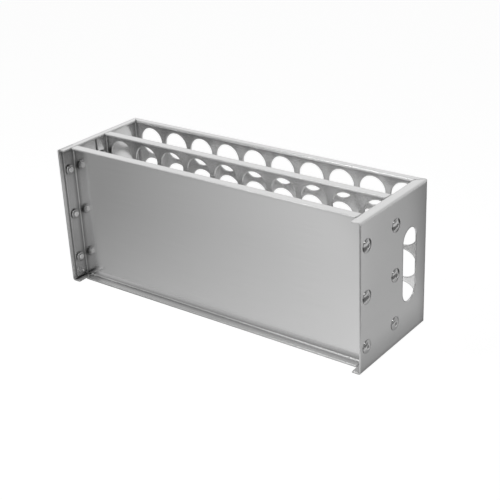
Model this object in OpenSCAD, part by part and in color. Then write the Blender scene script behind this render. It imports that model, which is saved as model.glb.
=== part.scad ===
// Test tube rack for 40 tubes, folded from three steel sheets and held by blind rivets.
// The sheets are drawn as the rack stands in use: x along it, y across it, z up from its feet.
// The finished rack is then laid on one long side, as photographed, with its feet forward.

/* [Overall size] */
// Length of the rack over its end walls
rack_l = 290; // [284:1:340]
// Width of the rack over its long flanges
rack_w = 120; // [114:1:150]
// Height of the rack in use, from its feet to the top plate
rack_h = 95; // [93:1:140]

/* [Sheet] */
// Thickness of the sheet
sheet_t = 1.2; // [0.8:0.1:1.5]
// Inside radius of every bend
bend_in = 0.8; // [0.5:0.1:1.5]
// Radius of the free corners of the inner plates' flanges
corner_r = 1.2; // [0.6:0.1:4]

/* [Tube holes] */
// Number of tube holes along the rack
hole_count_x = 10; // [4:1:10]
// Number of tube holes across the rack
hole_count_y = 4; // [2:1:4]
// Diameter of a tube hole
tube_d = 23.5; // [12:0.5:25]
// Spacing of the holes along the rack
pitch_x = 28; // [26:0.1:28.5]
// Spacing of the holes across the rack
pitch_y = 27.4; // [25.5:0.1:28]

/* [Outer shell] */
// Width of the flanges along the top plate, over their hems
top_flange = 7; // [5.5:0.5:10]
// Gap between the free edge of a hem and the top plate
hem_gap = 1.4; // [0.6:0.1:2]
// Width of the flanges along the end walls
end_flange = 7.5; // [5:0.5:10]
// Gap between the mitred flanges at each bend
mitre_gap = 0.5; // [0.2:0.1:1]
// Width of a hand slot
slot_w = 20; // [15:1:24]
// Length of a hand slot across the rack
slot_l = 60; // [40:1:80]
// Distance of a slot's middle below the top plate's upper face
slot_drop = 25.5; // [20:0.5:26]

/* [Inner plates] */
// Height of the base plate's upper face above the feet
base_z = 16.5; // [15:0.5:20]
// Rise from the base plate to the middle plate
middle_rise = 40; // [30:0.5:40]
// Width of the long flanges of the inner plates
long_flange = 8.8; // [6:0.2:10]
// Width of the riveted flanges at the ends of the inner plates
side_flange = 13; // [12:0.5:14]
// Gap between a long flange's end and the end wall's flange
end_gap = 0.6; // [0.4:0.1:5]
// Gap between a riveted flange's ends and the end wall's flanges
side_gap = 0.8; // [0.3:0.1:3]
// Radius of the relief hole at each corner of an inner plate
relief_r = 1.4; // [0.8:0.1:2]

/* [Blind rivets] */
// Spacing of the rivets across the rack
rivet_pitch = 40; // [30:1:46]
// Distance of a rivet's axis below the upper face of its plate
rivet_drop = 8; // [7:0.1:8.5]
// Diameter of the shank
shank_d = 4.8; // [4:0.1:5]
// Clearance of the shank in its holes, on the diameter
shank_fit = 0.2; // [0.1:0.1:0.4]
// Diameter of the flange head
head_d = 10.6; // [9:0.1:11.5]
// Height of the flange head
head_h = 1.7; // [1.2:0.1:2.2]
// Height of the straight rim below the head's dome
head_rim = 0.4; // [0.2:0.1:0.6]
// Diameter of the set barrel behind the sheets
barrel_d = 8.2; // [6:0.1:9]
// Length of the set barrel behind the sheets
barrel_l = 2; // [2:0.1:4]
// Diameter of the mandrel's stem
stem_d = 2.8; // [2.2:0.1:3]
// Clearance of the stem in the rivet's bore, on the diameter
stem_fit = 0.1; // [0.1:0.1:0.3]
// Diameter of the mandrel's head
tip_d = 4.7; // [4:0.1:4.8]
// Length of the mandrel's head
tip_l = 0.8; // [0.8:0.1:2]
// Depth of the broken stem below the top of the rivet's head
stem_sink = 0.8; // [0.4:0.1:1]
// Diameter of the recess over the broken stem
recess_d = 4.4; // [3.8:0.1:5]

/* [Hidden] */
$fn = 96;
over = 1;
half_l = rack_l / 2;
half_w = rack_w / 2;
bend_out = bend_in + sheet_t;
wall_in = half_l - sheet_t;
middle_z = base_z + middle_rise;
slot_z = rack_h - slot_drop;
// Half lengths of the inner plates' long flanges and of their riveted flanges
long_x = half_l - end_flange - end_gap;
side_y = half_w - sheet_t - side_gap;
// The hems end short of the mitres, and the mitre slits run a little past both flanges
hem_x = half_l - max(top_flange, end_flange) - mitre_gap;
mitre_reach = max(top_flange, end_flange) + over;
grip = 2 * sheet_t;
barrel_round = 0.9;
tip_round = 0.6;
// Radius of the sphere whose cap is the dome of a rivet's head
dome_h = head_h - head_rim;
dome_r = (pow(head_d / 2, 2) + pow(dome_h, 2)) / (2 * dome_h);

LEVELS = ["base", "middle"];
ENDS = ["left", "right"];
ROWS = [1, 2, 3];
function fastener(part, level, end, row) = str(part, "_", level, "_", end, "_", row);

// Lays the standing rack on its side, centred on the origin
module laid_down() {
    translate([0, -rack_h / 2, half_w]) rotate([-90, 0, 0]) children();
}

module both_ways(normal) {
    children();
    mirror(normal) children();
}

// Stands a drawing in the y-z plane and runs it along x, centred
module along_x(length) {
    rotate([90, 0, 90]) linear_extrude(length, center = true) children();
}

// Stands a drawing in the x-z plane and runs it along y, centred
module along_y(length) {
    rotate([90, 0, 0]) linear_extrude(length, center = true) children();
}

// Section of a bend with its flange. The flange hangs down with its outer face on the vertical
// axis, and the bend starts from a sheet whose upper face is on the horizontal axis.
module bend_section(flange) {
    translate([-bend_out, -bend_out]) intersection() {
        difference() {
            circle(bend_out);
            circle(bend_in);
        }
        square(bend_out);
    }
    translate([-sheet_t, -flange]) square([sheet_t, flange - bend_out]);
}

// Section of a hem that folds the flange's free edge flat against its inner face
module hem_section(flange) {
    translate([-sheet_t, sheet_t - flange]) {
        intersection() {
            circle(sheet_t);
            translate([-sheet_t, -sheet_t]) square([2 * sheet_t, sheet_t]);
        }
        translate([-sheet_t, 0]) square([sheet_t, flange - 2 * sheet_t - hem_gap]);
    }
}

// Outline of the shell seen from the side, with its two bends rounded
module shell_outline() {
    translate([-half_l, 0]) square([rack_l, rack_h - bend_out]);
    translate([bend_out - half_l, 0]) square([rack_l - 2 * bend_out, rack_h]);
    both_ways([1, 0]) translate([half_l - bend_out, rack_h - bend_out]) circle(bend_out);
}

// Top plate and end walls as one bent strip
module shell_strip() {
    along_y(rack_w - 2 * bend_out) {
        translate([bend_out - half_l, rack_h - sheet_t])
            square([rack_l - 2 * bend_out, sheet_t]);
        both_ways([1, 0]) translate([half_l, rack_h]) bend_section(rack_h);
    }
}

// Part of the x-z plane between the two mitres, below the top plate's upper face
module mitre_field() {
    inset = mitre_gap / sqrt(2);
    polygon([
        [inset - half_l, rack_h],
        [half_l - inset, rack_h],
        [half_l - inset - mitre_reach, rack_h - mitre_reach],
        [inset + mitre_reach - half_l, rack_h - mitre_reach]
    ]);
}

// Flange along one long edge of the top plate, hemmed between the end walls' flanges
module top_edge() {
    // Outside the hem the flange stops where its fold begins
    intersection() {
        translate([0, half_w, rack_h]) along_x(rack_l) bend_section(top_flange - sheet_t);
        along_y(2 * rack_w) mitre_field();
    }
    translate([0, half_w, rack_h]) along_x(2 * hem_x) hem_section(top_flange);
}

// Flange along one edge of the right end wall
module wall_edge() {
    inset = mitre_gap / sqrt(2);
    intersection() {
        translate([half_l, -half_w, 0]) rotate(-90) linear_extrude(rack_h)
            bend_section(end_flange);
        along_y(2 * rack_w) polygon([
            [half_l, 0],
            [half_l, rack_h - inset],
            [half_l - mitre_reach, rack_h - inset - mitre_reach],
            [half_l - mitre_reach, 0]
        ]);
    }
}

module tube_holes(z) {
    first = [(1 - hole_count_x) / 2 * pitch_x, (1 - hole_count_y) / 2 * pitch_y, z - over];
    for (i = [0 : hole_count_x - 1], j = [0 : hole_count_y - 1])
        translate(first + [i * pitch_x, j * pitch_y, 0])
            cylinder(d = tube_d, h = 2 * over + sheet_t);
}

// Hand slots through both end walls
module hand_slots() {
    straight = slot_l - slot_w;
    translate([0, 0, slot_z]) {
        cube([rack_l + 2 * over, straight, slot_w], center = true);
        both_ways([0, 1, 0]) translate([0, straight / 2, 0]) rotate([0, 90, 0])
            cylinder(d = slot_w, h = rack_l + 2 * over, center = true);
    }
}

// Rivet holes on one level, through both end walls and the flanges behind them
module rivet_holes(plate_z) {
    for (row = ROWS)
        translate([0, (row - 2) * rivet_pitch, plate_z - rivet_drop]) rotate([0, 90, 0])
            cylinder(d = shank_d + shank_fit, h = rack_l + 2 * over, center = true);
}

module outer_shell() {
    color("silver") laid_down() difference() {
        union() {
            shell_strip();
            intersection() {
                union() {
                    both_ways([0, 1, 0]) top_edge();
                    both_ways([1, 0, 0]) both_ways([0, 1, 0]) wall_edge();
                }
                along_y(2 * rack_w) shell_outline();
            }
        }
        tube_holes(rack_h - sheet_t);
        hand_slots();
        rivet_holes(base_z);
        rivet_holes(middle_z);
    }
}

// Takes the free corners off a flange that hangs below z = 0 and is 2 * half long in x
module rounded_tips(half, flange) {
    both_ways([1, 0]) translate([half - corner_r, corner_r - flange]) difference() {
        translate([0, -corner_r]) square([corner_r + over, corner_r]);
        circle(corner_r);
    }
}

// Folded plate with a flange on all four sides, its upper face at z = 0
module inner_plate() {
    difference() {
        union() {
            translate([-long_x, bend_out - half_w, -sheet_t])
                cube([2 * long_x, rack_w - 2 * bend_out, sheet_t]);
            translate([bend_out - wall_in, -side_y, -sheet_t])
                cube([2 * (wall_in - bend_out), 2 * side_y, sheet_t]);
            both_ways([0, 1, 0]) translate([0, half_w, 0]) along_x(2 * long_x)
                bend_section(long_flange);
            both_ways([1, 0, 0]) translate([wall_in, 0, 0]) along_y(2 * side_y)
                bend_section(side_flange);
        }
        along_y(rack_w + over) rounded_tips(long_x, long_flange);
        along_x(rack_l) rounded_tips(side_y, side_flange);
        both_ways([1, 0, 0]) both_ways([0, 1, 0])
            translate([long_x, half_w - bend_out, -bend_out]) cylinder(r = relief_r, h = 2 * bend_out);
    }
}

module middle_plate() {
    color("lightgray") laid_down() difference() {
        translate([0, 0, middle_z]) inner_plate();
        tube_holes(middle_z - sheet_t);
        rivet_holes(middle_z);
    }
}

module base_plate() {
    color("gainsboro") laid_down() difference() {
        translate([0, 0, base_z]) inner_plate();
        rivet_holes(base_z);
    }
}

// Section of a set rivet, its axis upright and its head resting on z = 0
module rivet_section() {
    difference() {
        union() {
            square([head_d / 2, head_rim]);
            intersection() {
                translate([0, head_h - dome_r]) circle(dome_r);
                translate([0, head_rim]) square([head_d / 2, dome_h]);
            }
            translate([0, -grip]) square([shank_d / 2, grip]);
            translate([0, -grip - barrel_l]) {
                translate([0, barrel_round])
                    square([barrel_d / 2, barrel_l - 2 * barrel_round]);
                square([barrel_d / 2 - barrel_round, barrel_l]);
                for (end = [barrel_round, barrel_l - barrel_round])
                    translate([barrel_d / 2 - barrel_round, end]) circle(barrel_round);
            }
        }
        translate([-2 * head_d, -grip - barrel_l - over]) square([2 * head_d, 2 * head_d]);
        translate([0, -grip - barrel_l - over])
            square([(stem_d + stem_fit) / 2, 2 * head_d]);
        translate([0, head_h - stem_sink]) square([recess_d / 2, head_h]);
    }
}

// Section of the mandrel end that stays in a set rivet
module mandrel_section() {
    square([stem_d / 2, grip + barrel_l + head_h - stem_sink]);
    translate([0, -tip_l]) {
        translate([0, tip_round]) square([tip_d / 2, tip_l - tip_round]);
        square([tip_d / 2 - tip_round, tip_round]);
        translate([tip_d / 2 - tip_round, tip_round]) intersection() {
            circle(tip_round);
            translate([0, -tip_round]) square(tip_round);
        }
    }
}

// Puts a fastener through the end wall, its axis along x and its head outside
module at_rivet(level, end, row) {
    plate_z = level == "base" ? base_z : middle_z;
    laid_down() mirror(end == "left" ? [1, 0, 0] : [0, 0, 0])
        translate([half_l, (row - 2) * rivet_pitch, plate_z - rivet_drop])
            rotate([0, 90, 0]) children();
}

module rivet(level, end, row) {
    color("whitesmoke") at_rivet(level, end, row) rotate_extrude() rivet_section();
}

module mandrel(level, end, row) {
    color("gray") at_rivet(level, end, row) translate([0, 0, -grip - barrel_l])
        rotate_extrude() mandrel_section();
}

outer_shell();
middle_plate();
base_plate();
for (level = LEVELS, end = ENDS, row = ROWS) {
    rivet(level, end, row);
    mandrel(level, end, row);
}
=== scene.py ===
"""Looks of the folded and riveted test tube rack: satin sheet steel under soft studio light.

Everything is in metres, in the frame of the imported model: x along the rack, y from its feet to
its top plate, z up as it lies on one long side.
"""

import math

import bpy
from mathutils import Matrix, Vector


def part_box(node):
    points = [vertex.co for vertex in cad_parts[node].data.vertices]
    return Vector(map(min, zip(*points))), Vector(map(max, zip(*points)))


MM = 0.001

# Camera, fitted to the rack's edges and holes in the photograph
CAMERA_AT = Vector((503.5, -633.0, 426.4)) * MM
CAMERA_AIM = Vector((11.7, 1.5, 47.4)) * MM
CAMERA_ROLL = math.radians(-2.769)
CAMERA_LENS = 79.81
SENSOR = 36.0

# Faces of the sheets. Inside the rack their grey is painted lighter, most of all to the right:
# painted light on the inner faces.
SHEET_GREY = 0.74
SHEET_INSIDE_PAINTED_LIGHT = 0.8
INSIDE_LIGHT_FROM, INSIDE_LIGHT_TO = -140 * MM, 50 * MM
# Painted shade: the left riveted flange outside the rack is painted darker.
FLANK_PAINTED_SHADE_GREY = 0.56
SHEET_ROUGHNESS = 0.19
CLOUD_ROUGHNESS = 0.03
CLOUD_SCALE = 14.0
GRAIN_LENGTH = 60 * MM
GRAIN_WIDTH = 0.35 * MM
GRAIN_SHADE = 0.02
GRAIN_ROUGHNESS = 0.03
GRAIN_BUMP = 0.12
GRAIN_DEPTH = 0.02 * MM
# Painted shade in corners and creases, from an occlusion node
CREASE_SHADE_REACH = 6 * MM
CREASE_PAINTED_SHADE = 0.6
BEND_SOFTNESS = 1.5 * MM
SKIN = 1.1 * MM

# Cut edges of the sheets. Their light grey is partly bare cut steel and partly a painted
# highlight; inside the rack they are painted darker as painted shade.
EDGE_BARE_AND_HIGHLIGHT_GREY = 0.9
EDGE_INSIDE_PAINTED_SHADE = 0.45
EDGE_ROUGHNESS = 0.6
EDGE_WIDTH = 0.6 * MM

# Rivets and their mandrels. Tails inside the rack are painted darker as painted shade, head
# recesses painted light as a painted highlight, mandrel tips painted white as a painted highlight
# and stems painted dark as painted shade in the recess.
TAIL_PAINTED_SHADE_GREY = 0.45
HEAD_GREY = 0.6
RECESS_PAINTED_LIGHT_GREY = 0.95
TIP_PAINTED_HIGHLIGHT_GREY = 0.95
STEM_PAINTED_SHADE_GREY = 0.3
RIVET_ROUGHNESS = 0.15
MANDREL_ROUGHNESS = 0.3
RECESS_ROUGHNESS = 0.5
RECESS_RADIUS = 2.25 * MM
RIVET_Y = -39 * MM
RIVET_Z = 20 * MM
RIVET_PITCH = 40 * MM
DENT_SCALE = 900.0
DENT_SHADE = 0.02
DENT_BUMP = 0.1
DENT_DEPTH = 0.04 * MM
# Painted shade around the heads, from an occlusion node
RIVET_SHADE_REACH = 1.5 * MM
RIVET_PAINTED_SHADE = 0.45

# Studio
FLOOR_SIZE = 6.0
FLOOR_GREY = 0.35
FLOOR_GLOW = 0.93
FRONT_CARD = 0.8
CARD_NEAR, CARD_FAR = -0.3, -0.6
CARD_LOW, CARD_HIGH = 0.5, 0.7
WORLD_LIGHT = 0.12
ROOM_GREY = 0.25
ROOM_WHITE = 0.93
CLIP = (0.05, 50)
GLOSSY_BOUNCES = 12

# Painted reflection: the floor's glow that only the steel sees, by part of the floor
FLOOR_LEFT = 0.24
FLOOR_RIGHT = 0.64
FLOOR_LIFT = 0.05
FLOOR_BEHIND = 0.75
FLOOR_DARK = 0.1
FLOOR_BESIDE = 0.42
FOOT_SHADE = 0.6
FRONT_LEAN = 0.77
SIDE_LEAN = 1.83

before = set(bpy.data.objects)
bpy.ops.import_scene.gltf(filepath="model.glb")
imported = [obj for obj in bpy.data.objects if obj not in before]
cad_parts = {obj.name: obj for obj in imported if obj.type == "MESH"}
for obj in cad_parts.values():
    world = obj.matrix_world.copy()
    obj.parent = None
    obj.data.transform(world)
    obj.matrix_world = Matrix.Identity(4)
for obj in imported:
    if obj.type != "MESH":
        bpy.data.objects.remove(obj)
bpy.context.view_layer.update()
shell_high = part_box("outer_shell")[1]
base_low, base_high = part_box("base_plate")


class Nodes:
    """Adds nodes to a tree. Inputs may be sockets or plain values."""

    def __init__(self, tree):
        self.tree = tree
        tree.nodes.clear()

    def add(self, kind, **inputs):
        node = self.tree.nodes.new(kind)
        for name, value in inputs.items():
            self.feed(node.inputs[name.replace("_", " ")], value)
        return node

    def feed(self, socket, value):
        if isinstance(value, bpy.types.NodeSocket):
            self.tree.links.new(value, socket)
        else:
            socket.default_value = value

    def feed_all(self, sockets, values):
        for socket, value in zip(sockets, values):
            self.feed(socket, value)

    def math(self, operation, a, b=0.0):
        node = self.tree.nodes.new("ShaderNodeMath")
        node.operation = operation
        self.feed_all(node.inputs, (a, b))
        return node.outputs[0]

    def plus(self, a, b):
        return self.math("ADD", a, b)

    def minus(self, a, b):
        return self.math("SUBTRACT", a, b)

    def times(self, a, b):
        return self.math("MULTIPLY", a, b)

    def larger(self, a, b):
        return self.math("MAXIMUM", a, b)

    def size(self, a):
        return self.math("ABSOLUTE", a)

    def above(self, a, limit):
        return self.math("GREATER_THAN", a, limit)

    def below(self, a, limit):
        return self.math("LESS_THAN", a, limit)

    def every(self, first, *others):
        """1 where all the marks are 1."""
        for mark in others:
            first = self.times(first, mark)
        return first

    def spread(self, value, low, high, out_low, out_high):
        """Maps low..high to out_low..out_high, and holds it there."""
        node = self.tree.nodes.new("ShaderNodeMapRange")
        self.feed_all(node.inputs, (value, low, high, out_low, out_high))
        return node.outputs[0]

    def around(self, noise, middle, change):
        """Turns the usual range of a noise into middle plus or minus change."""
        return self.spread(noise, 0.3, 0.7, middle - change, middle + change)

    def pick(self, which, no, yes):
        """no where which is 0, yes where it is 1."""
        node = self.tree.nodes.new("ShaderNodeMix")
        self.feed_all((node.inputs[0], node.inputs[2], node.inputs[3]), (which, no, yes))
        return node.outputs[0]

    def split(self, vector):
        return self.add("ShaderNodeSeparateXYZ", Vector=vector).outputs

    def combine(self, x, y, z):
        return self.add("ShaderNodeCombineXYZ", X=x, Y=y, Z=z).outputs[0]

    def place(self):
        """The point in the frame of the model, as one vector."""
        return self.add("ShaderNodeTexCoord").outputs["Object"]

    def open_air(self, reach):
        return self.add("ShaderNodeAmbientOcclusion", Distance=reach).outputs["AO"]

    def seen_directly(self):
        """1 for what the camera sees, also through glass."""
        path = self.add("ShaderNodeLightPath").outputs
        return self.larger(path["Is Camera Ray"], path["Is Transmission Ray"])

    def seen_in_metal(self):
        return self.add("ShaderNodeLightPath").outputs["Is Glossy Ray"]

    def metal(self, shade, rough, normal):
        steel = self.add("ShaderNodeBsdfPrincipled", Base_Color=self.combine(shade, shade, shade),
                         Metallic=1.0, Roughness=rough, Normal=normal)
        self.add("ShaderNodeOutputMaterial", Surface=steel.outputs[0])


def grey(value):
    return (value, value, value, 1.0)


def new_material(name):
    material = bpy.data.materials.new(name)
    material.use_nodes = True
    return material, Nodes(material.node_tree)


def add_object(name, data):
    obj = bpy.data.objects.new(name, data)
    bpy.context.scene.collection.objects.link(obj)
    return obj


def grain_place(n, folded):
    """Coordinates with x along the rolling grain, y and z across it.

    The grain runs along the rack. In the outer shell it turns with the sheet at both bends, so it
    runs along y in the end walls.
    """
    x, y, z = n.split(n.place())
    if not folded:
        return n.combine(x, y, z)
    from_wall = n.minus(shell_high.x, n.size(x))
    from_top = n.minus(shell_high.y, y)
    mix = n.tree.nodes.new("ShaderNodeMix")
    mix.data_type = "VECTOR"
    n.feed_all((mix.inputs[0], mix.inputs[4], mix.inputs[5]),
               (n.below(from_wall, from_top), n.combine(x, y, z), n.combine(y, x, z)))
    return mix.outputs[1]


def sheet_greys(n):
    """Greys of the sheet's faces and of its cut edges.

    Inside the rack the faces are painted lighter, most of all to the right, as painted light, and
    the cut edges are painted darker as painted shade. The left riveted flange is painted darker
    where it lies outside the rack, as painted shade.
    """
    x, y, z = n.split(n.place())
    inside = n.every(n.above(y, base_high.y + 0.5 * MM), n.below(y, shell_high.y - SKIN),
                     n.below(n.size(x), shell_high.x - SKIN), n.below(z, shell_high.z - SKIN))
    flank = n.every(n.below(x, base_low.x + 3.3 * MM), n.below(y, base_high.y - 1.5 * MM),
                    n.above(x, base_low.x + 0.2 * MM))
    outside = n.pick(flank, SHEET_GREY, FLANK_PAINTED_SHADE_GREY)
    # Painted light: faces inside the rack painted lighter, most of all to the right.
    face = n.pick(inside, outside,
                  n.spread(x, INSIDE_LIGHT_FROM, INSIDE_LIGHT_TO, SHEET_GREY, SHEET_INSIDE_PAINTED_LIGHT))
    # Cut edges: light grey, partly bare steel and partly a painted highlight; inside the rack
    # painted darker as painted shade.
    return face, n.pick(inside, EDGE_BARE_AND_HIGHLIGHT_GREY, EDGE_INSIDE_PAINTED_SHADE)


def cut_edge(n):
    """1 on the sheared edges of the sheet, where a rounded normal turns off the real one."""
    along = n.add("ShaderNodeVectorMath")
    along.operation = "DOT_PRODUCT"
    n.feed_all(along.inputs, (n.add("ShaderNodeBevel", Radius=EDGE_WIDTH).outputs[0],
                              n.add("ShaderNodeNewGeometry").outputs["Normal"]))
    return n.spread(along.outputs["Value"], 0.8, 0.97, 1.0, 0.0)


def sheet_steel(name, folded=False):
    """Rolled sheet: fine grain, soft clouds, painted shade in the corners and creases, and cut
    edges whose light grey is partly bare steel and partly a painted highlight.
    """
    material, n = new_material(name)
    along = grain_place(n, folded)
    stretched = n.add("ShaderNodeVectorMath", Vector=along)
    stretched.operation = "MULTIPLY"
    stretched.inputs[1].default_value = (1 / GRAIN_LENGTH, 1 / GRAIN_WIDTH, 1 / GRAIN_WIDTH)
    grain = n.add("ShaderNodeTexNoise", Vector=stretched.outputs[0], Scale=1.0,
                  Detail=3.0).outputs[0]
    clouds = n.add("ShaderNodeTexNoise", Vector=along, Scale=CLOUD_SCALE, Detail=2.0).outputs[0]

    face_grey, edge_grey = sheet_greys(n)
    edge = cut_edge(n)
    shade = n.plus(n.around(grain, 0.0, GRAIN_SHADE), face_grey)
    # Painted shade: darker in corners and creases, where the occlusion node finds the sheet closed
    # in.
    shade = n.times(shade, n.spread(n.open_air(CREASE_SHADE_REACH), 0.5, 0.95, CREASE_PAINTED_SHADE, 1.0))
    rough = n.plus(n.around(grain, 0.0, GRAIN_ROUGHNESS),
                   n.spread(clouds, 0.35, 0.65, SHEET_ROUGHNESS - CLOUD_ROUGHNESS,
                            SHEET_ROUGHNESS + CLOUD_ROUGHNESS))
    soft = n.add("ShaderNodeBevel", Radius=BEND_SOFTNESS).outputs[0]
    bump = n.add("ShaderNodeBump", Strength=GRAIN_BUMP, Distance=GRAIN_DEPTH, Height=grain,
                 Normal=soft)
    n.metal(n.pick(edge, shade, edge_grey), n.pick(edge, rough, EDGE_ROUGHNESS), bump.outputs[0])
    return material


def off_rivet_axis(n, y, z):
    """Distance from the nearest rivet's axis. The axes stand on a square grid."""
    squares = []
    for along, axis in ((y, RIVET_Y), (z, RIVET_Z)):
        cell = n.math("MODULO", n.minus(along, axis - 2.5 * RIVET_PITCH), RIVET_PITCH)
        off = n.minus(cell, 0.5 * RIVET_PITCH)
        squares.append(n.times(off, off))
    return n.math("SQRT", n.plus(*squares))


def rivet_steel(name, inner, outer, recess, roughness):
    """Formed metal: no grain, soft dents, dull patches and painted shade around the heads, from an
    occlusion node.

    The shade changes from inner to outer at the walls' outer faces, and to recess in the middle
    of the heads.
    """
    material, n = new_material(name)
    place = n.place()
    x, y, z = n.split(place)
    dents = n.add("ShaderNodeTexNoise", Vector=place, Scale=DENT_SCALE, Detail=2.0).outputs[0]
    out = n.above(n.size(x), shell_high.x - 0.2 * MM)
    deep = n.every(out, n.below(off_rivet_axis(n, y, z), RECESS_RADIUS))
    # Painted shade: darker where the occlusion node finds the rivet closed in, around the heads.
    shade = n.times(n.pick(out, inner, outer),
                    n.spread(n.open_air(RIVET_SHADE_REACH), 0.3, 0.9, RIVET_PAINTED_SHADE, 1.0))
    shade = n.plus(n.pick(deep, shade, recess), n.around(dents, 0.0, DENT_SHADE))
    rough = n.spread(dents, 0.3, 0.7, roughness - 0.05, roughness + 0.08)
    bump = n.add("ShaderNodeBump", Strength=DENT_BUMP, Distance=DENT_DEPTH, Height=dents)
    n.metal(shade, n.pick(deep, rough, RECESS_ROUGHNESS), bump.outputs[0])
    return material


def dress(node, material):
    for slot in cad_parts[node].material_slots:
        slot.material = material


def dress_all():
    plate = sheet_steel("plate_steel")
    dress("outer_shell", sheet_steel("shell_steel", folded=True))
    dress("middle_plate", plate)
    dress("base_plate", plate)
    # Tails and stems painted dark as painted shade; head recesses painted light and mandrel tips
    # painted white as painted highlights.
    rivet = rivet_steel("rivet_steel", TAIL_PAINTED_SHADE_GREY, HEAD_GREY, RECESS_PAINTED_LIGHT_GREY, RIVET_ROUGHNESS)
    mandrel = rivet_steel("mandrel_steel", TIP_PAINTED_HIGHLIGHT_GREY, STEM_PAINTED_SHADE_GREY, STEM_PAINTED_SHADE_GREY, MANDREL_ROUGHNESS)
    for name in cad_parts:
        if name.startswith("rivet"):
            dress(name, rivet)
        elif name.startswith("mandrel"):
            dress(name, mandrel)


def floor_in_metal(n):
    """Painted reflection: a glow on the floor that only the steel sees, white between the plates,
    where it is painted light under the shaded inside of the rack, and grey around the rack.

    In front it grows darker to the left, and beside the right wall it grows darker to the back and
    darkest at the wall's foot, as painted shade. A dark patch further right paints the rivet
    heads' dark side as painted shade.
    """
    x, y, z = n.split(n.place())
    across = n.minus(x, n.times(y, FRONT_LEAN))
    front = n.plus(n.spread(across, -0.13, 0.17, FLOOR_LEFT, FLOOR_RIGHT),
                   n.spread(y, -0.16, -0.05, 0.0, FLOOR_LIFT))
    front = n.times(front, n.spread(across, 0.19, 0.27, 1.0, 0.0))
    front = n.larger(front, n.spread(y, CARD_FAR, CARD_NEAR, FRONT_CARD, 0.0))

    depth = n.minus(y, n.times(n.minus(x, shell_high.x), SIDE_LEAN))
    side = n.times(n.spread(depth, 0.038, 0.06, FLOOR_BESIDE, 0.0),
                   n.spread(x, 0.147, 0.165, FOOT_SHADE, 1.0))
    behind = n.larger(n.spread(depth, -0.13, -0.1, FLOOR_DARK, FLOOR_BEHIND),
                      n.spread(x, 0.4, 0.5, 0.0, FLOOR_BEHIND))

    around = n.pick(n.below(y, -0.03), behind, front)
    around = n.pick(n.every(n.above(x, shell_high.x), n.above(depth, -0.075)), around, side)
    inside = n.every(n.below(n.size(x), 0.137), n.below(n.size(n.minus(y, 0.009)), 0.039))
    return n.pick(inside, around, 1.0)


def floor():
    half = FLOOR_SIZE / 2
    mesh = bpy.data.meshes.new("floor")
    corners = [(-half, -half, 0), (half, -half, 0), (half, half, 0), (-half, half, 0)]
    mesh.from_pydata(corners, [], [(0, 1, 2, 3)])
    material, n = new_material("floor_white")
    matt = n.add("ShaderNodeBsdfDiffuse", Color=grey(FLOOR_GREY))
    # White to the camera; to the steel a painted reflection laid out by floor_in_metal.
    strength = n.plus(n.times(n.seen_directly(), FLOOR_GLOW),
                      n.times(n.seen_in_metal(), floor_in_metal(n)))
    glow = n.add("ShaderNodeEmission", Color=grey(1.0), Strength=strength)
    both = n.tree.nodes.new("ShaderNodeAddShader")
    n.feed_all(both.inputs, (matt.outputs[0], glow.outputs[0]))
    n.add("ShaderNodeOutputMaterial", Surface=both.outputs[0])
    mesh.materials.append(material)
    add_object("floor", mesh)


def white_world():
    """A white backdrop. The steel mirrors it as white behind the rack and grey in front of it."""
    world = bpy.data.worlds.new("studio")
    bpy.context.scene.world = world
    world.use_nodes = True
    n = Nodes(world.node_tree)
    x, y, z = n.split(n.add("ShaderNodeTexCoord").outputs["Generated"])
    toward = n.plus(y, n.minus(n.times(z, 0.3), n.times(x, 0.6)))
    white = n.spread(toward, -0.15, 1.1, ROOM_GREY, ROOM_WHITE)
    card = n.times(n.spread(y, CARD_FAR, CARD_NEAR, FRONT_CARD, 0.0),
                   n.spread(z, CARD_LOW, CARD_HIGH, 1.0, 0.0))
    in_metal = n.times(n.seen_in_metal(), n.larger(white, card))
    strength = n.larger(n.larger(n.seen_directly(), in_metal), WORLD_LIGHT)
    background = n.add("ShaderNodeBackground", Color=grey(1.0), Strength=strength)
    n.add("ShaderNodeOutputWorld", Surface=background.outputs[0])


def softbox(name, at, aim, side, watts):
    data = bpy.data.lights.new(name, "AREA")
    data.shape = "SQUARE"
    data.size = side
    data.energy = watts
    obj = add_object(name, data)
    obj.location = at
    obj.rotation_mode = "QUATERNION"
    obj.rotation_quaternion = (Vector(aim) - Vector(at)).to_track_quat("-Z", "Y")


def camera():
    data = bpy.data.cameras.new("camera")
    data.lens = CAMERA_LENS
    data.sensor_width = SENSOR
    data.clip_start, data.clip_end = CLIP
    obj = add_object("camera", data)
    level = (CAMERA_AIM - CAMERA_AT).to_track_quat("-Z", "Y").to_matrix().to_4x4()
    obj.matrix_world = Matrix.Translation(CAMERA_AT) @ level @ Matrix.Rotation(CAMERA_ROLL, 4, "Z")
    bpy.context.scene.camera = obj


dress_all()
camera()
floor()
white_world()
softbox("key", at=(-0.26, -0.4, 0.62), aim=(0, -0.05, 0.05), side=0.25, watts=0.6)
softbox("rivets", at=(0.45, -0.25, 0.65), aim=(0, 0, 0.06), side=0.15, watts=0.4)

bpy.context.scene.view_settings.view_transform = "Standard"
bpy.context.scene.cycles.glossy_bounces = GLOSSY_BOUNCES
